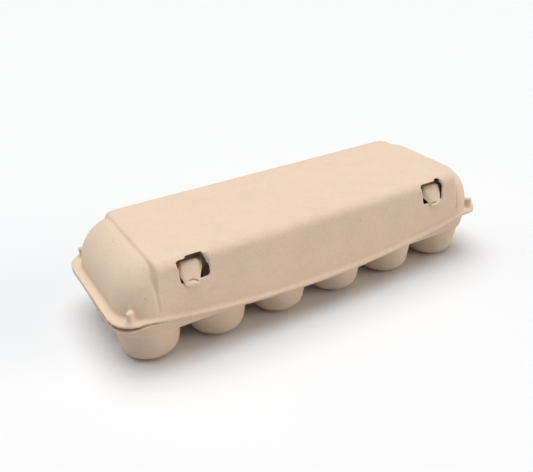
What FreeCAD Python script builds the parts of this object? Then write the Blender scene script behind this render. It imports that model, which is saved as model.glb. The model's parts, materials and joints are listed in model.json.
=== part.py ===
"""Moulded-pulp egg carton for twelve eggs: tray, hinged lid and front locking flap.

Millimetres, +Z up, +X along the carton, the locking side faces -Y. The origin is on the
surface that the cups stand on, under the middle of the carton's outline.
"""
import FreeCAD, Part
import os
from math import cos, radians, sin, sqrt
from FreeCAD import Vector as V

# ---- driving dimensions -------------------------------------------------------------
pulp = 2.0              # thickness of the moulded pulp
seat_gap = 0.3          # gap left between two bodies that move past each other

cells_long = 6          # cups along the carton, in each of the two rows
cell_pitch = 47.5       # from one cup to the next along the carton
row_pitch = 46.0        # from the front row to the rear row
deck_z = 26.0           # top of the deck that joins the cups
deck_margin = 23.0      # from the centre of an outer cup to the tray's wall
cup_foot_r = 10.0       # flat spot that each cup stands on
cup_bowl_r = 19.3       # outer radius where the rounded bottom meets the straight side
cup_bowl_z = 8.5
cup_mouth_r = 21.8      # outer radius of a cup just under the deck
bowl_out = 0.24         # how full the rounded bottom is, out and up, as shares of its height
bowl_up = 0.31

post_base_r = 8.6       # hollow posts between four cups
post_top_r = 3.6
post_round = 1.4        # rounding of a post's top
post_clear = 11.5       # from the top of the posts to the top of the lid

rim_z = 36.5            # parting plane between tray and lid at the ends and the rear
dip_depth = 10.5        # how far the parting line dips along the front
dip_margin = 13.75      # from the deck's end to where the dip starts
ledge_end = 4.65        # rim outside the tray's wall at the two ends
ledge_front = 4.0       # rim outside the tray's wall at the front corners
ledge_rear = 5.0
bow = 3.0               # how far the front rim bows out in the middle
rim_corner_r = 16.5
wall_draft = 1.5        # how far the tray's wall leans out on its way up to the rim
wall_corner_r = 22.0

lid_z = 71.5            # top of the carton
band_margin = 23.75     # from the deck's end to the end of the lid's raised middle
band_stand = 2.9        # front and rear wall of the raised middle outside the deck, at their foot
band_lean = 3.0         # how far its front wall leans in on the way up
band_rear_lean = 8.0
band_edge_r = 7.5       # rounding along its two long top edges
band_bow = 2.4          # the front wall's own bow at its foot, and just under the roof
band_top_bow = 0.05
end_margin = 0.75       # from the deck's end to the lid's domed end, at the rim
end_step = 1.8          # how much lower and slimmer the domed ends are
end_crown = 1.0         # the domed ends' curve would close this far under the top of the lid
end_power = 2.4         # how square that curve is
end_close = 23.0        # how far it closes in at the ends, the front, the rear and the corners
end_close_front = 13.0
end_close_rear = 18.0
end_close_corner = 4.0
end_corner_r = 21.0
end_rings = (0.0, 0.33, 0.59, 0.76)   # shares of the lid's height where the curve is set out
end_top_ring = 2.0      # last of them, measured down from the domed end's top

window_margin = 47.55   # from the deck's end to the middle of a latch window
window_wide = 19.8
window_tall = 15.0
window_drop = 1.9       # from the top of the lid down to the window

nub_margin_x = 10.4     # stacking nubs, in from the rim's edge at the ends and at the front
nub_margin_y = 5.6
nub_r = 2.5
nub_tall = 7.6

hinge_r = 1.0           # fold between tray and lid, behind the rear rim
hinge_margin = 28.4     # from the end of the rim to the end of that fold
fold_r = 0.9            # fold between tray and locking flap
fold_half = 54.0
fold_inset = 4.4        # in from the front rim's edge
fold_lift = 1.44        # over the rim's top at the fold's own ends
flap_thick = 1.6
flap_lean = 18.0        # degrees from upright, towards the eggs
flap_wing = 19.8        # from the middle of a tab to the flap's end
flap_shoulder_lift = 2.0     # the flap turns wide this far over the parting plane
flap_drop = 5.11        # from the windows' top down to the flap's top
flap_bridge = 3.0       # pulp left over a tab's cut-out
flap_corner_r = 8.0

latch_side_gap = 2.2    # between a locking tab's root and the window's side
latch_taper = 1.95      # how much narrower each side of the tab is at its lip
latch_drop = 3.6        # from the window's top to the tab's top
latch_recess = 7.9      # the brow where the tab turns down, in from the foot of the lid's wall
latch_reach = 0.7       # its lip, out from the foot of the lid's wall
latch_brow = 1.6        # rounding of the brow, and of the lip
latch_lip = 1.3
latch_lip_tall = 3.2
latch_heel = 4.0        # how far the lip returns inwards
latch_thick = 1.6
slot_gap = 0.6          # gap round a tab in the flap's cut-out, and beside the flap's tongue

cut_over = 1.0          # how far a cutting shape runs past the face that it cuts
far = 400.0             # past the whole carton

# ---- sizes worked out from those above ------------------------------------------------
row_y = row_pitch / 2
deck_x = (cells_long - 1) / 2 * cell_pitch + deck_margin
deck_y = row_y + deck_margin
under = deck_z - pulp
post_z = lid_z - post_clear
rim_x = deck_x + ledge_end
rim_front = deck_y + ledge_front
rim_rear = deck_y + ledge_rear
side_split = deck_y - wall_corner_r     # the rims' side strips lie between -y and +y
hinge_y, hinge_z = rim_rear + hinge_r, rim_z
hinge_half = rim_x - hinge_margin
dip_half = deck_x - dip_margin
dip_r = (dip_half ** 2 + dip_depth ** 2) / (2 * dip_depth)
lid_base_z = rim_z + seat_gap
lid_foot_z = deck_z - dip_depth         # the lid's walls are drawn from here, under the dip
band_half = deck_x - band_margin
band_front = deck_y + band_stand
end_half = deck_x - end_margin
window_x = deck_x - window_margin
window_high = lid_z - window_drop
window_low = window_high - window_tall
nub_x, nub_y = rim_x - nub_margin_x, rim_front - nub_margin_y
fold_y = -(rim_front - fold_inset)
fold_z = rim_z - dip_depth + dip_r - sqrt(dip_r ** 2 - fold_half ** 2) + fold_lift
flap_half = window_x + flap_wing
flap_shoulder = rim_z - fold_z + flap_shoulder_lift
flap_tall = (window_high - flap_drop - fold_z) / cos(radians(flap_lean))
latch_wide = window_wide - 2 * latch_side_gap
latch_top = window_high - latch_drop
latch_brow_y = -(band_front - latch_recess)
latch_lip_y = -(band_front + latch_reach)
X, Z = V(1, 0, 0), V(0, 0, 1)


def box(x0, x1, y0, y1, z0, z1):
    return Part.makeBox(x1 - x0, y1 - y0, z1 - z0, V(x0, y0, z0))


def loop(z, half_x, front, rear, corner, bulge=0.0):
    """Closed outline at height z: a rounded rectangle whose front side may bow out."""
    x, r = half_x, corner
    k = r * (1 - sqrt(0.5))
    ends = [V(-x + r, -front, z), V(x - r, -front, z), V(x, -front + r, z), V(x, rear - r, z),
            V(x - r, rear, z), V(-x + r, rear, z), V(-x, rear - r, z), V(-x, -front + r, z)]
    mids = [V(x - k, -front + k, z), V(x - k, rear - k, z),
            V(-x + k, rear - k, z), V(-x + k, -front + k, z)]
    if bulge:
        edges = [Part.Arc(ends[0], V(0, -front - bulge, z), ends[1]).toShape()]
    else:
        edges = [Part.makeLine(ends[0], ends[1])]
    for side in range(4):
        a, b = ends[2 * side + 1], ends[(2 * side + 2) % 8]
        edges.append(Part.Arc(a, mids[side], b).toShape())
        if side < 3:
            edges.append(Part.makeLine(b, ends[2 * side + 3]))
    return Part.Wire(edges)


def prism(wire, height):
    return Part.Face(wire).extrude(V(0, 0, height))


def spin(points):
    """Solid of revolution about Z from (r, z) points."""
    wire = Part.makePolygon([V(r, 0, z) for r, z in points] + [V(points[0][0], 0, points[0][1])])
    return Part.Face(wire).revolve(V(0, 0, 0), Z, 360)


def below_parting(lift):
    """Everything under the parting surface, which dips along the front, raised by lift."""
    top = rim_z + lift
    dip = Part.Arc(V(-dip_half, -far, top), V(0, -far, top - dip_depth), V(dip_half, -far, top))
    frame = Part.makePolygon([V(dip_half, -far, top), V(far, -far, top), V(far, -far, -far),
                              V(-far, -far, -far), V(-far, -far, top), V(-dip_half, -far, top)])
    front = Part.Face(Part.Wire([dip.toShape()] + frame.Edges)).extrude(V(0, far - row_y, 0))
    return front.fuse(box(-far, far, -row_y, far, -far, top)).removeSplitter()


# ---- tray ------------------------------------------------------------------------------
def cup_body(inset):
    """A cup as a full solid, shrunk by inset: flat foot, rounded bottom, tapering side."""
    foot = V(cup_foot_r, 0, inset)
    bend = V(cup_bowl_r - inset, 0, cup_bowl_z)
    side = V(cup_mouth_r - inset, 0, deck_z)
    rise = bend.z - foot.z
    swell = V((foot.x + bend.x) / 2 + rise * bowl_out, 0, inset + rise * bowl_up)
    edges = [Part.makeLine(V(0, 0, inset), foot), Part.Arc(foot, swell, bend).toShape(),
             Part.makeLine(bend, side), Part.makeLine(side, V(0, 0, deck_z)),
             Part.makeLine(V(0, 0, deck_z), V(0, 0, inset))]
    return Part.Face(Part.Wire(edges)).revolve(V(0, 0, 0), Z, 360)


def egg_cups():
    """Twelve cups, each with its own piece of the deck, meeting side by side."""
    outer, inner = cup_body(0.0), cup_body(pulp)
    tray_plan = prism(loop(0, deck_x, deck_y, deck_y, wall_corner_r), far)
    tray_plan = tray_plan.common(box(-far, far, -far, far, 0, deck_z))
    wells = [V(x, 0, 0) for x in post_places()]
    nodes = {}
    for row, side in (("front", -1), ("rear", 1)):
        for i in range(cells_long):
            x = (i - (cells_long - 1) / 2) * cell_pitch
            at = V(x, side * row_y, 0)
            x0 = -far if i == 0 else x - cell_pitch / 2
            x1 = far if i == cells_long - 1 else x + cell_pitch / 2
            y0, y1 = (-far, 0) if side < 0 else (0, far)
            cell = box(x0, x1, y0, y1, 0, deck_z)
            deck = tray_plan.common(cell).common(box(-far, far, -far, far, under, deck_z))
            for well in wells:
                deck = deck.cut(Part.makeCylinder(post_base_r - pulp, far, well))
            shell = deck.fuse(outer.translated(at).common(cell)).cut(inner.translated(at))
            nodes[f"egg_cup_{row}_{i + 1}"] = shell.removeSplitter()
    return nodes


def post_places():
    return [(i - (cells_long - 2) / 2) * cell_pitch for i in range(cells_long - 1)]


def centre_posts():
    """Hollow tapered posts with a rounded top, open underneath."""
    shoulder_r, shoulder_z = post_top_r + post_round, post_z - post_top_r
    outside = spin([(0, deck_z), (post_base_r, deck_z), (shoulder_r, shoulder_z),
                    (post_top_r, post_z - post_round), (post_top_r - post_round, post_z), (0, post_z)])
    inside = spin([(0, deck_z - cut_over), (post_base_r - pulp, deck_z - cut_over),
                   (post_base_r - pulp, deck_z), (shoulder_r - pulp, shoulder_z - pulp),
                   (0, shoulder_z)])
    post = outside.cut(inside)
    return {f"centre_post_{n + 1}": post.translated(V(x, 0, 0)) for n, x in enumerate(post_places())}


def rim_plan(z, height):
    """The outline of both rims, bowed at the front, as a slab."""
    return prism(loop(z, rim_x, rim_front, rim_rear, rim_corner_r, bow), height)


def strips(ring):
    """A rim cut into its front, rear, left and right strips, which meet end to end."""
    y = side_split
    return {"front": ring.common(box(-far, far, -far, -y, -far, far)),
            "rear": ring.common(box(-far, far, y, far, -far, far)),
            "left": ring.common(box(-far, 0, -y, y, -far, far)),
            "right": ring.common(box(0, far, -y, y, -far, far))}


def tray_rims():
    """The tray's wall, from the deck up to the parting surface, and its rim around it."""
    def plan(z, inset, lean):
        grow = lean - inset
        return loop(z, deck_x + grow, deck_y + grow, deck_y + grow, wall_corner_r + grow)
    wall_out = Part.makeLoft([plan(under, 0, 0), plan(rim_z, 0, wall_draft)], True, True)
    wall_in = Part.makeLoft([plan(deck_z, pulp, 0), plan(rim_z, pulp, wall_draft)], True, True)
    deck_body = prism(loop(under - cut_over, deck_x, deck_y, deck_y, wall_corner_r), pulp + cut_over)
    wall = wall_out.cut(deck_body).cut(wall_in)
    ledge = rim_plan(under - cut_over, far).cut(wall_in).cut(deck_body).cut(below_parting(-pulp))
    ring = wall.fuse(ledge).common(below_parting(0)).removeSplitter()
    seat = box(-hinge_half, hinge_half, rim_rear - hinge_r, hinge_y, rim_z - pulp, rim_z)
    ring = ring.fuse(seat).cut(rod(hinge_y, hinge_z, hinge_r, hinge_half))
    return ring


def rod(y, z, radius, half):
    return Part.makeCylinder(radius, 2 * half, V(-half, y, z), X)


def fold_land():
    """Low rib on the front rim that carries the flap's fold."""
    rib = box(-fold_half, fold_half, fold_y - fold_r, fold_y + fold_r, lid_foot_z, fold_z)
    return rib.cut(rod(fold_y, fold_z, fold_r, fold_half)).cut(below_parting(0))


# ---- lid -------------------------------------------------------------------------------
def band_body(inset):
    """The lid's raised middle as a full solid, shrunk by inset."""
    x = band_half - inset
    wall, top = band_front - inset, lid_z - inset

    def section(z, front_y, rear_y, bulge):
        a, b = V(-x, -front_y, z), V(x, -front_y, z)
        c, d = V(x, rear_y, z), V(-x, rear_y, z)
        face = Part.Arc(a, V(0, -front_y - bulge, z), b).toShape()
        return Part.Wire([face, Part.makeLine(b, c), Part.makeLine(c, d), Part.makeLine(d, a)])
    body = Part.makeLoft([section(lid_foot_z, wall, wall, band_bow),
                          section(top, wall - band_lean, wall - band_rear_lean, band_top_bow)], True, True)
    long_top = [e for e in body.Edges if e.BoundBox.ZMin > top - cut_over and e.BoundBox.XLength > x]
    return body.makeFillet(band_edge_r - inset, long_top)


def end_body(inset):
    """Both domed ends as one full-length solid, shrunk by inset: rings that close in upwards."""
    top = lid_z - end_step - inset
    side = band_front - end_step / 2 - inset
    heights = [rim_z + share * (lid_z - rim_z) for share in end_rings]
    rings = []
    for z in [lid_foot_z] + heights + [top - end_top_ring, top]:
        rise = max(0.0, (z - rim_z + inset) / (lid_z - end_crown - rim_z))
        close = 1 - sqrt(1 - rise ** end_power)
        rings.append(loop(z, end_half - inset - end_close * close, side - end_close_front * close,
                          side - end_close_rear * close, end_corner_r - inset - end_close_corner * close))
    return Part.makeLoft(rings, True, False)


def lid_shell():
    outer = band_body(0.0).fuse(end_body(0.0))
    inner = band_body(pulp).fuse(end_body(pulp))
    return outer, outer.cut(inner).cut(below_parting(seat_gap))


def windows():
    """The two openings that the locking tabs reach through."""
    half = window_wide / 2
    cuts = [box(s * window_x - half, s * window_x + half, -far, -row_y, window_low, window_high)
            for s in (-1, 1)]
    return cuts[0].fuse(cuts[1])


def lid_panels(shell):
    x, y = band_half, band_front - band_lean - band_edge_r + cut_over
    y_rear = band_front - band_rear_lean - band_edge_r + cut_over
    middle = shell.common(box(-x, x, -far, far, -far, far))
    return {"lid_roof": middle.common(box(-x, x, -y, y_rear, 0, far)),
            "lid_front_panel": middle.common(box(-x, x, -far, -y, 0, far)).cut(windows()),
            "lid_rear_panel": middle.common(box(-x, x, y_rear, far, 0, far)),
            "lid_left_end": shell.common(box(-far, -x, -far, far, 0, far)),
            "lid_right_end": shell.common(box(x, far, -far, far, 0, far))}


def lid_rim(outer):
    slab = rim_plan(0, far).common(below_parting(seat_gap + pulp)).cut(below_parting(seat_gap))
    return slab.cut(outer).cut(rod(hinge_y, hinge_z, hinge_r + seat_gap, far))


def nubs():
    """Pegs with a rounded head on the rim's corners, which keep stacked cartons apart."""
    base = lid_base_z + pulp
    head_z = base + nub_tall - nub_r
    peg = Part.makeCylinder(nub_r, nub_tall - nub_r, V(0, 0, base), Z)
    peg = peg.fuse(Part.makeSphere(nub_r, V(0, 0, head_z))).removeSplitter()
    peg = peg.common(box(-far, far, -far, far, base, far))
    places = {"front_left": (-1, -1), "front_right": (1, -1), "rear_left": (-1, 1), "rear_right": (1, 1)}
    return {f"corner_nub_{name}": peg.translated(V(sx * nub_x, sy * nub_y, 0))
            for name, (sx, sy) in places.items()}


# ---- locking flap ----------------------------------------------------------------------
def lean(shape):
    """Turns a shape drawn upright on the flap's fold to the flap's resting lean."""
    return shape.rotated(V(0, fold_y, fold_z), X, -flap_lean)


def flap():
    """One flat panel: a tongue at the fold, wide above it, with a cut-out behind each tab."""
    t, z0 = flap_thick / 2, fold_z
    tongue = box(-fold_half + slot_gap, fold_half - slot_gap, fold_y - t, fold_y + t, z0, z0 + flap_tall)
    wide = box(-flap_half, flap_half, fold_y - t, fold_y + t, z0 + flap_shoulder, z0 + flap_tall)
    corners = [e for e in wide.Edges if e.BoundBox.YLength > t and e.BoundBox.ZLength < 0.1]
    panel = wide.makeFillet(flap_corner_r, corners).fuse(tongue)
    half = latch_wide / 2 + slot_gap
    for s in (-1, 1):
        x = s * window_x
        panel = panel.cut(box(x - half, x + half, -far, 0, z0 + flap_tall / 2, z0 + flap_tall - flap_bridge))
    panel = lean(panel).cut(rod(fold_y, fold_z, fold_r + seat_gap, far))
    return panel.removeSplitter()


def latch(x):
    """Locking tab: it comes forward over the flap's cut-out, turns down and out to a lip that
    rests on the window's sill, and returns inwards under it."""
    reach = flap_tall - flap_bridge - slot_gap
    root_y = fold_y + reach * sin(radians(flap_lean))
    root_z = fold_z + reach * cos(radians(flap_lean))
    sill, brow_y, lip_y, t = window_low + seat_gap, latch_brow_y, latch_lip_y, latch_thick
    outside = [(root_y, root_z), (brow_y, latch_top), (brow_y - latch_brow, latch_top - latch_brow),
               (lip_y + latch_lip, sill + latch_lip_tall), (lip_y, sill + latch_lip), (lip_y, sill),
               (lip_y + latch_heel, sill)]
    inside = [(lip_y + latch_heel, sill + t), (lip_y + latch_heel - latch_lip, sill + t),
              (brow_y, latch_top - latch_brow - t), (root_y, root_z - t)]
    points = [V(x - latch_wide / 2, y, z) for y, z in outside + inside]
    tab = Part.Face(Part.makePolygon(points + points[:1])).extrude(V(latch_wide, 0, 0))
    for s in (-1, 1):
        edge = x + s * latch_wide / 2
        slim = edge - s * latch_taper
        trim = Part.makePolygon([V(edge, brow_y, -far), V(slim, lip_y, -far), V(slim, -far, -far),
                                 V(edge + s * far, -far, -far), V(edge + s * far, brow_y, -far),
                                 V(edge, brow_y, -far)])
        tab = tab.cut(Part.Face(trim).extrude(V(0, 0, 2 * far)))
    return tab


# ---- write one file per node -------------------------------------------------------------
nodes = egg_cups()
nodes.update(centre_posts())
tray_ring = tray_rims()
nodes.update({f"tray_{name}_rim": strip for name, strip in strips(tray_ring).items()})
nodes["tray_front_rim"] = nodes["tray_front_rim"].fuse(fold_land()).removeSplitter()
nodes["rear_fold"] = rod(hinge_y, hinge_z, hinge_r, hinge_half)
nodes["front_fold"] = rod(fold_y, fold_z, fold_r, fold_half)
lid_outer, lid_skin = lid_shell()
nodes.update(lid_panels(lid_skin))
nodes.update({f"lid_{name}_rim": strip for name, strip in strips(lid_rim(lid_outer)).items()})
nodes.update(nubs())
nodes["locking_flap"] = flap()
nodes["left_locking_tab"] = latch(-window_x)
nodes["right_locking_tab"] = latch(window_x)

os.makedirs("parts", exist_ok=True)
for name, shape in nodes.items():
    shape.exportStep(f"parts/{name}.step")
    print(f"{name}: solids {len(shape.Solids)}, valid {shape.isValid()}, volume {shape.Volume:.0f}")
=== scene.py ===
"""Looks for the moulded-pulp egg carton: each body's regions become one continuous pulp shell."""
import json
import math
import bmesh
import bpy
import numpy as np
from mathutils import Matrix, Vector


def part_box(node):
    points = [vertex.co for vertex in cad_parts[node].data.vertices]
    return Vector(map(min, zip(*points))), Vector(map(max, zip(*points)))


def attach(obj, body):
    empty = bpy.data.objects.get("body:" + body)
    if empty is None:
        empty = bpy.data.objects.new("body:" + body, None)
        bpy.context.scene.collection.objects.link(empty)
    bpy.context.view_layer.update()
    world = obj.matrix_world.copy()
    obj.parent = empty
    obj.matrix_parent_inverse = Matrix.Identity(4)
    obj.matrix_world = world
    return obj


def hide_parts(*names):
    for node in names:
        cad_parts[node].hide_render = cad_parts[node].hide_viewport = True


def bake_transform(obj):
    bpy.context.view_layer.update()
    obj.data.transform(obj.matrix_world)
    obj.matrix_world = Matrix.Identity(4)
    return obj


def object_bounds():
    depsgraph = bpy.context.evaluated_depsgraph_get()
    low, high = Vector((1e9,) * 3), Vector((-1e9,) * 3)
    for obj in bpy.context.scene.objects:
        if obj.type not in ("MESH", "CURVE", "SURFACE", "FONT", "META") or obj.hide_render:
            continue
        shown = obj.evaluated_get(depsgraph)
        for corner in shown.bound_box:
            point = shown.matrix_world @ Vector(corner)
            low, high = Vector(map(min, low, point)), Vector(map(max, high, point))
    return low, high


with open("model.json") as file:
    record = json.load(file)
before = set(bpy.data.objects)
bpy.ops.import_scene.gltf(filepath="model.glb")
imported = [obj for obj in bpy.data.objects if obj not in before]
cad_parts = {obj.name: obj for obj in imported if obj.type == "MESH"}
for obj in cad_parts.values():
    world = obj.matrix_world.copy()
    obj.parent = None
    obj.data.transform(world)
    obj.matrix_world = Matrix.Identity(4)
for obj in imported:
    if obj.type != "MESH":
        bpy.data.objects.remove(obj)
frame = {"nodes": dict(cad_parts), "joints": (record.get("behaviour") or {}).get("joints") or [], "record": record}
cad_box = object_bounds()

MM = 0.001
NODES = frame["nodes"]
BODIES = frame["record"]["behaviour"]["bodies"]
JOINTS = {joint["name"]: joint for joint in frame["joints"]}

# ---- how fine the pulp is modelled ----------------------------------------------------
SHELL_VOXEL = 0.80 * MM     # tray and lid
FLAP_VOXEL = 0.60 * MM
TAB_VOXEL = 0.30 * MM
WAVE_DEPTH = 0.22 * MM      # slow unevenness of the moulded surface
WAVE_SIZE = 16.0 * MM
LUMP_DEPTH = 0.12 * MM      # small lumps of fibre
LUMP_SIZE = 2.6 * MM
CLOSE_CUTS = 0.02 * MM      # regions of one body are grown by this, so that the remesh joins them


# ---- mesh helpers ----------------------------------------------------------------------
def add_object(name, mesh):
    obj = bpy.data.objects.new(name, mesh)
    bpy.context.scene.collection.objects.link(obj)
    return obj


def solid_object(name, bm):
    """Turns the faces of a closed bmesh outwards, and makes it an object."""
    bmesh.ops.recalc_face_normals(bm, faces=bm.faces)
    mesh = bpy.data.meshes.new(name)
    bm.to_mesh(mesh)
    bm.free()
    return add_object(name, mesh)


def joined(name, node_names, grow=0.0):
    """One new object with copies of these CAD nodes' meshes, each pushed out by grow."""
    bm = bmesh.new()
    for node in node_names:
        part = bmesh.new()
        part.from_mesh(NODES[node].data)
        bmesh.ops.remove_doubles(part, verts=part.verts, dist=0.5e-6)
        bmesh.ops.recalc_face_normals(part, faces=part.faces)
        part.normal_update()
        if grow:
            for vert in part.verts:
                vert.co += vert.normal * grow
        copy = bpy.data.meshes.new("copy")
        part.to_mesh(copy)
        part.free()
        bm.from_mesh(copy)
        bpy.data.meshes.remove(copy)
    mesh = bpy.data.meshes.new(name)
    bm.to_mesh(mesh)
    bm.free()
    return add_object(name, mesh)


def bake(obj):
    """Applies the object's modifiers to its mesh."""
    depsgraph = bpy.context.evaluated_depsgraph_get()
    mesh = bpy.data.meshes.new_from_object(obj.evaluated_get(depsgraph))
    obj.modifiers.clear()
    obj.data = mesh


def keep_largest(obj):
    """Drops every island of the mesh but the largest, so nothing loose is left inside."""
    bm = bmesh.new()
    bm.from_mesh(obj.data)
    left = set(bm.verts)
    best = []
    while left:
        stack = [left.pop()]
        island = list(stack)
        while stack:
            for edge in stack.pop().link_edges:
                for vert in edge.verts:
                    if vert in left:
                        left.remove(vert)
                        stack.append(vert)
                        island.append(vert)
        if len(island) > len(best):
            best = island
    keep = set(best)
    bmesh.ops.delete(bm, geom=[v for v in bm.verts if v not in keep], context="VERTS")
    bm.to_mesh(obj.data)
    bm.free()


def remesh(obj, voxel, smooth):
    """Fuses everything in the object into one skin of evenly sized faces, smoothed a few rounds."""
    mod = obj.modifiers.new("remesh", "REMESH")
    mod.mode = "VOXEL"
    mod.voxel_size = voxel
    mod.use_smooth_shade = True
    smoother = obj.modifiers.new("soften", "SMOOTH")
    smoother.factor = 0.5
    smoother.iterations = smooth
    bake(obj)
    keep_largest(obj)


def clouds(name, size, depth):
    texture = bpy.data.textures.new(name, "CLOUDS")
    texture.noise_scale = size
    texture.noise_depth = depth
    texture.noise_basis = "ORIGINAL_PERLIN"
    return texture


def pulp_relief(obj, wave=WAVE_DEPTH, lump=LUMP_DEPTH):
    """Moulded unevenness: the surface is pushed in, never out, so the size stays the CAD's."""
    for name, size, depth, layers in (("wave", WAVE_SIZE, wave, 1), ("lump", LUMP_SIZE, lump, 2)):
        mod = obj.modifiers.new(name, "DISPLACE")
        mod.texture = clouds(name, size, layers)
        mod.texture_coords = "LOCAL"
        mod.strength = depth
        mod.mid_level = 1.0
    bake(obj)
    for face in obj.data.polygons:
        face.use_smooth = True


def clamp_to_cad(obj):
    low, high = cad_box
    for vert in obj.data.vertices:
        for axis in range(3):
            vert.co[axis] = min(max(vert.co[axis], low[axis]), high[axis])


def smoothstep(value, low=0.0, high=1.0):
    """0 below low, 1 above high and a smooth rise between them, for a number or an array."""
    share = np.clip((value - low) / (high - low), 0.0, 1.0)      # low may also be the larger of the two
    return share * share * (3 - 2 * share)


def read_points(obj, kind="co"):
    """The vertices' places or, with kind "normal", their normals: one row for each vertex."""
    values = np.empty(len(obj.data.vertices) * 3, np.float32)
    obj.data.vertices.foreach_get(kind, values)
    return values.reshape(-1, 3).astype(float)


def write_points(obj, points):
    obj.data.vertices.foreach_set("co", points.astype(np.float32).ravel())
    obj.data.update()


def soften(obj, weight, rounds):
    """Rounds the mesh off where weight, one number for each vertex, is above 0."""
    edges = np.empty(len(obj.data.edges) * 2, np.int32)
    obj.data.edges.foreach_get("vertices", edges)
    a, b = edges.reshape(-1, 2).T
    points = read_points(obj)
    count = np.bincount(np.concatenate([a, b]), minlength=len(points)).clip(1)[:, None]
    step = 0.6
    for _ in range(rounds):
        total = np.stack([np.bincount(a, points[b, axis], len(points))
                          + np.bincount(b, points[a, axis], len(points)) for axis in range(3)], axis=1)
        points += (total / count - points) * weight[:, None] * step
    write_points(obj, points)


def grid_solid(name, outer, inner):
    """Closed mesh between two grids of points, outer and inner, of the same size."""
    rows, columns = outer.shape[:2]
    bm = bmesh.new()
    layers = [[[bm.verts.new(layer[i, j] * MM) for j in range(columns)] for i in range(rows)]
              for layer in (outer, inner)]
    for layer in layers:
        for i in range(rows - 1):
            for j in range(columns - 1):
                bm.faces.new((layer[i][j], layer[i + 1][j], layer[i + 1][j + 1], layer[i][j + 1]))
    ring = [(i, 0) for i in range(rows)]
    ring += [(rows - 1, j) for j in range(1, columns)]
    ring += [(i, columns - 1) for i in range(rows - 2, -1, -1)]
    ring += [(0, j) for j in range(columns - 2, 0, -1)]
    for (i, j), (k, m) in zip(ring, ring[1:] + ring[:1]):
        bm.faces.new((layers[0][i][j], layers[1][i][j], layers[1][k][m], layers[0][k][m]))
    return solid_object(name, bm)


def lathe(name, profile, centre, turns=40):
    """Closed solid of revolution about Z from (r, z) pairs that start and end on the axis."""
    bm = bmesh.new()
    rings = []
    for r, z in profile:
        if r == 0:
            rings.append([bm.verts.new(Vector((centre[0], centre[1], centre[2] + z)) * MM)])
        else:
            around = [2 * math.pi * k / turns for k in range(turns)]
            rings.append([bm.verts.new(Vector((centre[0] + r * math.cos(t), centre[1] + r * math.sin(t),
                                               centre[2] + z)) * MM) for t in around])
    for low, high in zip(rings, rings[1:]):
        for k in range(turns):
            n = (k + 1) % turns
            corners = [low[k % len(low)], low[n % len(low)], high[n % len(high)], high[k % len(high)]]
            bm.faces.new(list(dict.fromkeys(corners)))
    return solid_object(name, bm)


def wedge(name, corners, y_range):
    """Upright prism: its outline is given in (x, z), and it runs through y_range."""
    bm = bmesh.new()
    front, back = [[bm.verts.new(Vector((x, y, z)) * MM) for x, z in corners] for y in y_range]
    bm.faces.new(front)
    bm.faces.new(back)
    for i in range(len(corners)):
        j = (i + 1) % len(corners)
        bm.faces.new((front[i], front[j], back[j], back[i]))
    return solid_object(name, bm)


def absorb(obj, others):
    """Adds the other objects' meshes to obj's, and removes the other objects."""
    bm = bmesh.new()
    bm.from_mesh(obj.data)
    for other in others:
        bm.from_mesh(other.data)
        bpy.data.objects.remove(other)
    bm.to_mesh(obj.data)
    bm.free()


def curve_through(points, steps):
    """Points on a Catmull-Rom curve through the given ones, steps to each span."""
    points = [np.array(p, float) for p in points]
    points = [2 * points[0] - points[1]] + points + [2 * points[-1] - points[-2]]
    out = []
    for a, b, c, d in zip(points, points[1:], points[2:], points[3:]):
        for k in range(steps):
            t = k / steps
            out.append(0.5 * (2 * b + (c - a) * t + (2 * a - 5 * b + 4 * c - d) * t ** 2
                              + (3 * b - a - 3 * c + d) * t ** 3))
    return np.array(out + [points[-2]])


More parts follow.
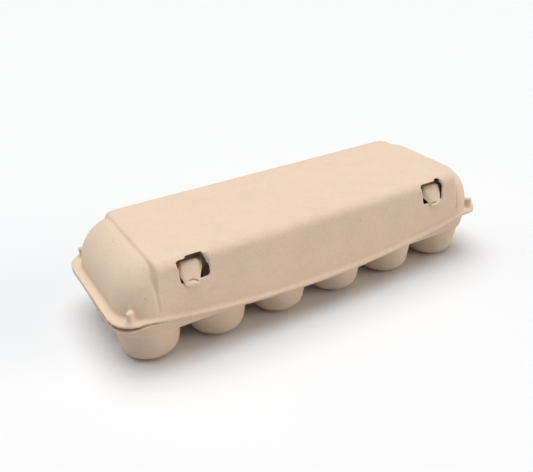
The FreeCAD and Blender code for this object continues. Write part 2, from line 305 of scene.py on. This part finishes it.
# ---- material --------------------------------------------------------------------------
def pulp_material(name, colour, warm, streaks=0.0):
    """Matt moulded pulp: faintly cloudy colour, felted fibres, dark specks and, if streaks is above 0,
    marks where the mould dragged along the walls."""
    mat = bpy.data.materials.new(name)
    mat.use_nodes = True
    tree = mat.node_tree
    nodes, links = tree.nodes, tree.links
    shader = nodes["Principled BSDF"]
    shader.inputs["Specular IOR Level"].default_value = 0.18
    shader.inputs["Sheen Weight"].default_value = 0.06
    place = nodes.new("ShaderNodeTexCoord").outputs["Object"]

    def noise(scale, detail, rough=0.55, stretch=None, distortion=0.0):
        node = nodes.new("ShaderNodeTexNoise")
        node.inputs["Scale"].default_value = scale
        node.inputs["Detail"].default_value = detail
        node.inputs["Roughness"].default_value = rough
        node.inputs["Distortion"].default_value = distortion
        if stretch:
            mapping = nodes.new("ShaderNodeMapping")
            mapping.inputs["Scale"].default_value = stretch
            links.new(place, mapping.inputs["Vector"])
            links.new(mapping.outputs["Vector"], node.inputs["Vector"])
        else:
            links.new(place, node.inputs["Vector"])
        return node.outputs["Fac"]

    def ramp(value, low, high, low_colour=(0, 0, 0, 1), high_colour=(1, 1, 1, 1)):
        node = nodes.new("ShaderNodeValToRGB")
        node.color_ramp.elements[0].position = low
        node.color_ramp.elements[0].color = low_colour
        node.color_ramp.elements[1].position = high
        node.color_ramp.elements[1].color = high_colour
        links.new(value, node.inputs["Fac"])
        return node.outputs["Color"]

    def feed(socket, value):
        """Links the socket to another one, or sets it to a colour or a number."""
        if hasattr(value, "is_linked"):
            links.new(value, socket)
        elif socket.type == "RGBA":
            socket.default_value = (*value, 1.0)
        else:
            socket.default_value = value

    def mix(kind, amount, a, b):
        node = nodes.new("ShaderNodeMix")
        node.data_type = "RGBA"
        node.blend_type = kind
        for socket, value in ((node.inputs["Factor"], amount), (node.inputs[6], a), (node.inputs[7], b)):
            feed(socket, value)
        return node.outputs[2]

    def math_node(kind, *values):
        node = nodes.new("ShaderNodeMath")
        node.operation = kind
        for socket, value in zip(node.inputs, values):
            feed(socket, value)
        return node.outputs[0]

    cloudy = ramp(noise(38.0, 3.0), 0.35, 0.68)
    felt = noise(620.0, 5.0, 0.65)
    grain = noise(1900.0, 3.0, 0.6)
    fibres_x = noise(420.0, 4.0, 0.7, stretch=(0.25, 2.2, 2.2), distortion=0.6)
    fibres_z = noise(420.0, 4.0, 0.7, stretch=(2.2, 2.2, 0.25), distortion=0.6)
    light = [min(1.0, c * 1.02) for c in colour]
    dark = [c * 0.97 for c in colour]
    base = mix("MIX", cloudy, dark, light)
    base = mix("MIX", ramp(noise(85.0, 2.0), 0.45, 0.75), base, warm)
    felt_shade = ramp(felt, 0.25, 0.75, (0.90, 0.885, 0.87, 1), (1.06, 1.06, 1.06, 1))
    base = mix("MULTIPLY", 0.55, base, felt_shade)
    fibre_shade = ramp(fibres_x, 0.30, 0.55, (0.93, 0.92, 0.90, 1), (1, 1, 1, 1))
    base = mix("MULTIPLY", 0.40, base, fibre_shade)
    speck = ramp(noise(520.0, 1.0, 0.4), 0.76, 0.80)
    base = mix("MIX", math_node("MULTIPLY", speck, 0.45), base, [c * 0.42 for c in colour])
    links.new(base, shader.inputs["Base Color"])
    links.new(math_node("MULTIPLY_ADD", felt, 0.12, 0.85), shader.inputs["Roughness"])

    height = math_node("MULTIPLY", felt, 0.60)
    layers = [(grain, 0.28), (fibres_x, 0.30), (fibres_z, 0.25)]
    if streaks:
        layers.append((noise(900.0, 2.0, 0.6, stretch=(1.0, 1.0, 0.05)), streaks))
    for layer, amount in layers:
        height = math_node("ADD", height, math_node("MULTIPLY", layer, amount))
    bump = nodes.new("ShaderNodeBump")
    bump.inputs["Strength"].default_value = 0.55
    bump.inputs["Distance"].default_value = 0.35 * MM
    links.new(height, bump.inputs["Height"])
    links.new(bump.outputs["Normal"], shader.inputs["Normal"])
    return mat


def coat(obj, material):
    obj.data.materials.clear()
    obj.data.materials.append(material)
    for face in obj.data.polygons:
        face.material_index = 0


# ---- camera, light and floor -------------------------------------------------------------
def add_camera():
    """Seen from the front left and above, as a product picture is taken."""
    azimuth, elevation, roll = math.radians(-30.8), math.radians(29.1), math.radians(-1.2)
    distance, lens = 499.1 * MM, 44.73
    target = Vector((-3.5, 22.2, 24.6)) * MM
    back = Vector((math.sin(azimuth) * math.cos(elevation), -math.cos(azimuth) * math.cos(elevation),
                   math.sin(elevation)))
    right = Vector((0, 0, 1)).cross(back).normalized()
    up = back.cross(right)
    turned_right = right * math.cos(roll) + up * math.sin(roll)
    turned_up = up * math.cos(roll) - right * math.sin(roll)
    data = bpy.data.cameras.new("camera")
    data.lens = lens
    data.sensor_width = 36.0
    data.clip_start = 0.01
    camera = bpy.data.objects.new("camera", data)
    bpy.context.scene.collection.objects.link(camera)
    axes = Matrix((turned_right, turned_up, back)).transposed().to_4x4()
    camera.matrix_world = Matrix.Translation(target + back * distance) @ axes
    bpy.context.scene.camera = camera


def add_light(name, direction, strength, angle, colour):
    """Sunlight that comes from direction; angle, in degrees, is how wide its source looks."""
    data = bpy.data.lights.new(name, "SUN")
    data.energy = strength
    data.angle = math.radians(angle)
    data.color = colour
    obj = bpy.data.objects.new(name, data)
    obj.rotation_euler = Vector(direction).to_track_quat("Z", "Y").to_euler()
    bpy.context.scene.collection.objects.link(obj)


def add_world():
    """White behind the carton for the camera, but only a little light from all around."""
    world = bpy.data.worlds.new("studio")
    world.use_nodes = True
    tree = world.node_tree
    sky = tree.nodes["Background"]
    sky.inputs["Color"].default_value = (1.0, 1.0, 1.0, 1)
    sky.inputs["Strength"].default_value = 0.10
    backdrop = tree.nodes.new("ShaderNodeBackground")
    backdrop.inputs["Color"].default_value = (0.95, 0.96, 0.975, 1)
    backdrop.inputs["Strength"].default_value = 1.0
    ray = tree.nodes.new("ShaderNodeLightPath")
    either = tree.nodes.new("ShaderNodeMixShader")
    tree.links.new(ray.outputs["Is Camera Ray"], either.inputs[0])
    tree.links.new(sky.outputs[0], either.inputs[1])
    tree.links.new(backdrop.outputs[0], either.inputs[2])
    tree.links.new(either.outputs[0], tree.nodes["World Output"].inputs["Surface"])
    bpy.context.scene.world = world


def add_lights():
    add_light("top_light", (-0.05, 0.08, 1.0), 3.05, 60.0, (0.96, 0.985, 1.0))
    add_light("rear_left_light", (-1.0, 0.75, 0.75), 0.50, 50.0, (1.0, 0.93, 0.83))
    add_light("front_right_light", (1.35, -1.0, 0.45), 1.35, 40.0, (1.0, 0.89, 0.77))


def add_floor():
    mesh = bpy.data.meshes.new("floor")
    bm = bmesh.new()
    bmesh.ops.create_grid(bm, x_segments=1, y_segments=1, size=6.0)
    bm.to_mesh(mesh)
    bm.free()
    floor = add_object("floor", mesh)
    floor.location.z = cad_box[0][2]
    mat = bpy.data.materials.new("floor_white")
    mat.use_nodes = True
    shader = mat.node_tree.nodes["Principled BSDF"]
    shader.inputs["Base Color"].default_value = (0.79, 0.79, 0.80, 1)
    shader.inputs["Roughness"].default_value = 0.9
    shader.inputs["Specular IOR Level"].default_value = 0.1
    coat(floor, mat)


# ---- the carton --------------------------------------------------------------------------
def cad_mm(node):
    """Lowest and highest corner of a CAD node, in millimetres."""
    return [np.array(corner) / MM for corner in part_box(node)]


BAND_END = cad_mm("lid_roof")[1][0]          # where the lid's raised middle stops, either way along X
LID_TOP = cad_mm("lid_roof")[1][2]
RIM_Z = cad_mm("tray_left_rim")[1][2]        # parting plane at the ends
HINGE = np.array(JOINTS["lid_hinge"]["pos_m"]) / MM
WINDOW_HALF = 9.9                            # half of a latch window's width
WINDOW_TOP = LID_TOP - 1.9
WINDOW_SILL = WINDOW_TOP - 15.0
RIM_SET_BACK = 1.9                           # the tray's front rim, behind the lid's
RIM_SAG = 1.9                                # the tray's rim at the left end, below the lid's
CREASE_DEPTH = 0.80                          # crease where the raised middle meets a domed end
CREASE_WIDTH = 0.80
CREASE_PLACE = BAND_END + 1.2


def tab_middle(side):
    """Where the middle of a locking tab, and of its window, lies along X."""
    low, high = cad_mm(side + "_locking_tab")
    return (low[0] + high[0]) / 2


def tray_moulding():
    """Cups, posts, wall and rim as the one moulding that they are."""
    members = [n for n in BODIES["tray"] if n != "rear_fold"]
    obj = joined("tray_moulding", members, grow=CLOSE_CUTS)
    remesh(obj, SHELL_VOXEL, 4)
    points = read_points(obj)
    x, y, z = points.T / MM
    rim = smoothstep(z, RIM_Z - 17.5, RIM_Z - 13.5)
    # along the front the tray's rim stays a little behind the lid's
    front = smoothstep(-y, 46.5, 50.0) * smoothstep(x, -128.0, -112.0)
    points[:, 1] += RIM_SET_BACK * MM * rim * front
    # at the left end the rim sags away from the lid's, as a rim does that doesn't spring back
    left_end = smoothstep(-x, 126.0, 140.0) * smoothstep(-y, -8.0, 14.0)
    points[:, 2] -= RIM_SAG * MM * left_end * smoothstep(z, RIM_Z - 9.0, RIM_Z - 2.5)
    write_points(obj, points)
    pulp_relief(obj)
    clamp_to_cad(obj)
    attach(obj, "tray")
    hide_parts(*members)
    return obj


def window_edges():
    """Pulp that the punch left in the two windows' corners: steps, torn corners and narrow feet."""
    top, sill, over = WINDOW_TOP, WINDOW_SILL, 0.6     # over: how far a piece reaches into the wall
    wall, crown = (-46.95, -45.0), (-44.5, -41.6)      # where the wall lies along Y, low and high
    mid = tab_middle("left")
    west, east = mid - WINDOW_HALF - over, mid + WINDOW_HALF + over
    pieces = [
        wedge("left_top_step", [(west, top + over), (west, top - 0.1), (mid - 5.5, top - 0.2),
                                (mid - 3.6, top), (mid - 2.6, top + over)], crown),
        wedge("left_torn_corner", [(east, top + over), (mid + 6.4, top + over), (mid + 7.5, top - 1.6),
                                   (mid + 8.6, top - 4.6), (mid + 9.4, top - 7.5),
                                   (east, top - 9.0)], crown),
        wedge("left_outer_foot", [(west, sill - over), (west, sill + 11.5), (mid - 9.9, sill + 11.5),
                                  (mid - 9.2, sill + 6.0), (mid - 8.7, sill - over)], wall)]
    mid = tab_middle("right")
    west, east = mid - WINDOW_HALF - over, mid + WINDOW_HALF + over
    pieces += [
        wedge("right_inner_foot", [(west, sill - over), (mid - 7.0, sill - over),
                                   (mid - 8.5, sill + 6.0), (west, sill + 12.0)], wall),
        wedge("right_top_step", [(west, top + over), (west, top - 0.2), (mid - 6.0, top - 0.5),
                                 (mid + 2.0, top - 0.6), (mid + 5.5, top + over)], crown),
        wedge("right_torn_corner", [(east, top + over), (mid + 8.0, top + over), (mid + 8.8, top - 1.4),
                                    (mid + 9.5, top - 3.4), (east, top - 4.4)], crown)]
    return pieces


def stacking_nubs():
    """Pegs with a ball head and a flared foot, in place of the CAD's plain ones."""
    foot_rz = [(0, -1.0), (3.9, -1.0), (3.9, -0.1), (2.9, 0.5), (2.25, 1.6)]
    neck_rz = [(1.95, 3.0), (1.95, 4.3)]
    head_rz = [(2.3, 5.2), (2.35, 6.1), (2.0, 7.0), (1.2, 7.5), (0, 7.6)]
    pegs = []
    for node in BODIES["lid"]:
        if node.startswith("corner_nub"):
            low, high = cad_mm(node)
            foot = ((low[0] + high[0]) / 2, (low[1] + high[1]) / 2, low[2])
            pegs.append(lathe(node + "_shape", foot_rz + neck_rz + head_rz, foot))
    return pegs


def lid_moulding():
    """Roof, walls, domed ends, rim and nubs as one moulding, with soft edges where pulp can't be sharp."""
    members = list(BODIES["lid"])
    obj = joined("lid_moulding", [n for n in members if not n.startswith("corner_nub")], grow=CLOSE_CUTS)
    absorb(obj, window_edges() + stacking_nubs())
    remesh(obj, SHELL_VOXEL, 3)
    points = read_points(obj)
    x, y, z = points.T / MM
    # the ends of the raised middle are soft along the rear edge and crisper towards the front
    band_edge = 1 - smoothstep(np.abs(np.abs(x) - BAND_END), 2.5, 6.0)
    crown = smoothstep(z, LID_TOP - 9.0, LID_TOP - 5.0)
    soften(obj, band_edge * crown * (0.3 + 0.7 * smoothstep(y, 22.0, 36.0)), 30)
    # the raised middle is pressed a little into the domed ends all the way round
    crease = np.exp(-((np.abs(x) - CREASE_PLACE) / CREASE_WIDTH) ** 2)
    crease *= smoothstep(z, RIM_Z + 2.0, RIM_Z + 8.0)
    inwards = -read_points(obj, "normal")
    write_points(obj, read_points(obj) + inwards * (CREASE_DEPTH * MM * crease)[:, None])
    pulp_relief(obj)
    clamp_to_cad(obj)
    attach(obj, "lid")
    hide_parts(*members)
    return obj


def flap_moulding():
    obj = joined("flap_moulding", BODIES["flap"])
    remesh(obj, FLAP_VOXEL, 3)
    pulp_relief(obj, 0.15 * MM, 0.10 * MM)
    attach(obj, "flap")
    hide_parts("locking_flap")
    return obj


# A tab's middle line in (y, z): root at the flap, rounded brow, face slanting out and down, lip.
TAB_LINE = [(-34.9, 62.2), (-38.0, 64.9), (-40.8, 65.7), (-42.9, 64.3), (-44.5, 61.4),
            (-46.2, 58.4), (-47.9, 55.9), (-49.0, 54.1), (-49.1, 52.9)]
TAB_PULP = 1.5
TAB_NEAR, TAB_OFF = -8.1, 8.6                # its sides at the brow: near the carton's middle, and off it
# The two tabs aren't alike. away: which way along X leads off the carton's middle. spread: how much
# wider the brow is. slant: how far the near side draws in on its way down. crease: its middle across
# and up, where it starts and stops in half widths, and how deep it is.
TABS = {"left": {"away": -1, "spread": 0.0, "slant": 4.6,
                 "crease": ((2.2, 55.9), (-0.95, 0.75), 1.3)},
        "right": {"away": 1, "spread": 1.1, "slant": 5.8,
                  "crease": ((0.6, 54.7), (-0.50, 0.65), 1.9)}}


def tab_face(name, mid, brow_z, away, spread, slant):
    """The nose itself: a curved sheet whose two sides curl back."""
    line = curve_through(TAB_LINE, 6)
    tangent = np.gradient(line, axis=0)
    normal = np.stack([tangent[:, 1], -tangent[:, 0]], axis=1)
    normal /= np.linalg.norm(normal, axis=1)[:, None]
    columns = 33
    outer, inner = np.zeros((len(line), columns, 3)), np.zeros((len(line), columns, 3))
    for i, ((y, z), (ny, nz)) in enumerate(zip(line, normal)):
        down = smoothstep(z, brow_z, WINDOW_SILL) if y < -41.0 else 0.0      # 0 at the brow, 1 at the sill
        under = smoothstep(z, WINDOW_SILL + 0.6, WINDOW_SILL - 1.4)          # 1 on the lip
        near = TAB_NEAR + slant * down ** 1.4 + 1.2 * under
        off = TAB_OFF + spread * (1 - down) + 0.6 * math.sin(math.pi * down) - 1.3 * down ** 2 - 0.5 * under
        for j in range(columns):
            across = j / (columns - 1)
            curl = 3.0 * (1 - smoothstep(across, 0.0, 0.34)) ** 1.5
            curl += (1.4 - 0.7 * spread) * smoothstep(across, 0.80, 1.0) ** 2
            curl *= smoothstep(-y, 37.0, 40.0) * (1 - 0.6 * down)
            x = mid + away * (near + (off - near) * across)
            outer[i, j] = (x, y - ny * curl, z - nz * curl)
            inner[i, j] = (x, y - ny * (curl + TAB_PULP), z - nz * (curl + TAB_PULP))
    return grid_solid(name, outer, inner)


def rolled_lip(mid, away):
    """Bead along the lip's edge, its two ends bowed back and up."""
    start, length, lip_y, lip_z = -2.2, 8.6, -48.75, 53.0
    bead_r, core_r = 0.85, 0.05
    spans, turns = 24, 12
    middle = []
    for k in range(spans + 1):
        bow = (2 * k / spans - 1) ** 2
        x = mid + away * (start + length * k / spans)
        middle.append(np.array((x, lip_y + 0.5 * bow, lip_z + 0.9 * bow)))
    around = [2 * math.pi * k / turns for k in range(turns + 1)]
    skin, core = [np.array([[p + np.array((0, r * math.cos(t), r * math.sin(t))) for p in middle]
                            for t in around]) for r in (bead_r, core_r)]
    return grid_solid("roll", skin, core)


def press_crease(obj, mid, away, place, span, depth):
    """A pinched crease over the lip, arched across the nose, with the pulp pushed out just below it."""
    half_width = 4.6
    points = read_points(obj)
    x, y, z = points.T / MM
    u = ((x - mid) * away - place[0]) / half_width
    line = place[1] - 2.0 * np.clip(-u, 0, 1) ** 1.5 - 0.4 * u ** 2
    start, stop = span
    face = smoothstep(-y, 46.0, 47.0) * smoothstep(u, start, start + 0.3)
    face *= 1 - smoothstep(u, stop - 0.3, stop)
    pinch = np.exp(-((z - line) / 0.40) ** 2)
    bulge = np.exp(-((z - line + 1.3) / 0.7) ** 2)
    points[:, 1] += depth * MM * pinch * face
    points[:, 1] -= 0.55 * MM * bulge * face
    write_points(obj, points)


def locking_tab(side):
    """Springy nose of the flap, which hangs over its window's sill by a rolled lip."""
    shape = TABS[side]
    away, mid = shape["away"], tab_middle(side)
    brow_z = cad_mm(side + "_locking_tab")[1][2] - 1.0
    obj = tab_face(side + "_tab_nose", mid, brow_z, away, shape["spread"], shape["slant"])
    absorb(obj, [rolled_lip(mid, away)])
    remesh(obj, TAB_VOXEL, 3)
    press_crease(obj, mid, away, *shape["crease"])
    pulp_relief(obj, 0.25 * MM, 0.12 * MM)
    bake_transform(obj)
    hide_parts(side + "_locking_tab")
    return obj


def rear_hinge():
    """The crease between tray and lid: one strip of pulp that is bent double while the lid is shut."""
    hinge_y, hinge_z = HINGE[1], HINGE[2]
    reach_in, outer_r, inner_share = 50.6, 1.0, 0.3
    half = cad_mm("rear_fold")[1][0]
    bend = [math.pi * k / 16 for k in range(17)]
    arc = [(hinge_y + outer_r * math.sin(t), -outer_r * math.cos(t)) for t in bend]
    path = [(reach_in, -outer_r)] + arc + [(reach_in, outer_r)]
    across = np.linspace(-half, half, 119)
    layers = []
    for share in (1.0, inner_share):
        line = []
        for y, rise in path:
            out = y - hinge_y
            line.append((hinge_y + (out * share if out > 0 else out), hinge_z + rise * share))
        layers.append(np.array([[(x, y, z) for x in across] for y, z in line]))
    obj = grid_solid("rear_hinge", *layers)
    pulp_relief(obj, 0.12 * MM, 0.10 * MM)
    clamp_to_cad(obj)
    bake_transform(obj)
    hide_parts("rear_fold")
    return obj


add_camera()
add_world()
add_lights()
add_floor()
bpy.context.scene.view_settings.view_transform = "Standard"

# The tray is the same pulp as the lid, but its colour is set darker than the lid's: painted shade for the cups
# under the rim.
tray_pulp_painted_shade = pulp_material("tray_pulp_painted_shade", (0.655, 0.515, 0.405), (0.69, 0.53, 0.405))
lid_pulp = pulp_material("lid_pulp", (0.73, 0.575, 0.45), (0.75, 0.575, 0.435), streaks=0.2)
coat(tray_moulding(), tray_pulp_painted_shade)
coat(lid_moulding(), lid_pulp)
coat(flap_moulding(), lid_pulp)
coat(locking_tab("left"), lid_pulp)
coat(locking_tab("right"), lid_pulp)
coat(rear_hinge(), lid_pulp)
